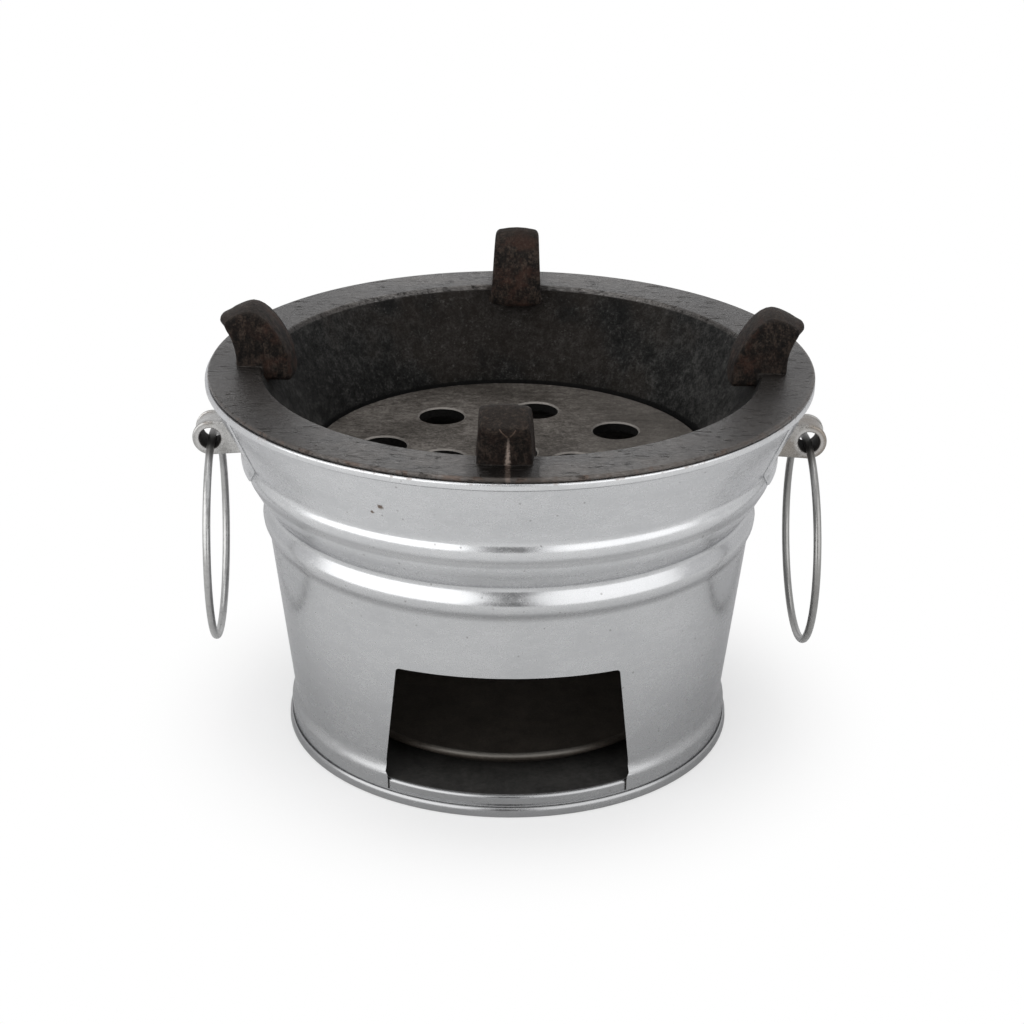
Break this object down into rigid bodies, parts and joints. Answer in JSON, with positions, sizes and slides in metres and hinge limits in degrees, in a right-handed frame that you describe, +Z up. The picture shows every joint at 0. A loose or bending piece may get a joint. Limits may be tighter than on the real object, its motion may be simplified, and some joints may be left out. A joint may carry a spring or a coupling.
{
  "type": "charcoal stove",
  "caption": "Round charcoal stove: a galvanised bucket with an ash door and drop rings, holding a cast iron fire bowl with pan lugs and a loose grate.",
  "frame": {"origin": "on the floor under the centre of the bucket", "axes": "+Z up, -Y towards the ash door at the front, +X to the right ear as seen from the front"},
  "size_m": [0.3158, 0.3, 0.2233],
  "materials": {
    "galvanised_sheet": "hot-dip galvanised, finely mottled, semi-gloss",
    "galvanised_pan": "galvanised, dull with ash",
    "galvanised_plate": "galvanised, semi-gloss",
    "sooty_sheet": "heat-browned and sooty",
    "cast_iron_bowl": "as cast, rust tinted, rubbed on the flange",
    "cast_iron_grate": "as cast, burnt",
    "cast_ear": "matt, grey",
    "ring_wire": "satin bright wire"
  },
  "bodies": {
    "bucket": {"bucket_shell": "galvanised_sheet", "bottom_pan": "galvanised_pan", "ear_plate_left": "galvanised_plate", "ear_plate_right": "galvanised_plate", "ear_left": "cast_ear", "ear_right": "cast_ear"},
    "fire_bowl": {"fire_bowl": "cast_iron_bowl"},
    "grate": {"grate": "cast_iron_grate"},
    "ash_tray": {"ash_tray": "sooty_sheet"},
    "ring_left": {"ring_left": "ring_wire"},
    "ring_right": {"ring_right": "ring_wire"}
  },
  "joints": [
    {"name": "bowl_lift", "type": "slide", "parent": "bucket", "child": "fire_bowl", "axis": [0, 0, 1], "range_m": [0, 0.12]},
    {"name": "grate_lift", "type": "slide", "parent": "fire_bowl", "child": "grate", "axis": [0, 0, 1], "range_m": [0, 0.09]},
    {"name": "tray_lift", "type": "slide", "parent": "bucket", "child": "ash_tray", "axis": [0, 0, 1], "range_m": [0, 0.1]},
    {"name": "ring_left_swing", "type": "hinge", "parent": "bucket", "child": "ring_left", "pos_m": [-0.14904, 0, 0.15179], "axis": [-0.0314, 0.9995, 0], "range_deg": [-17.5, 180]},
    {"name": "ring_right_swing", "type": "hinge", "parent": "bucket", "child": "ring_right", "pos_m": [0.14904, 0, 0.15179], "axis": [0.0314, -0.9995, 0], "range_deg": [-17.5, 180]}
  ]
}
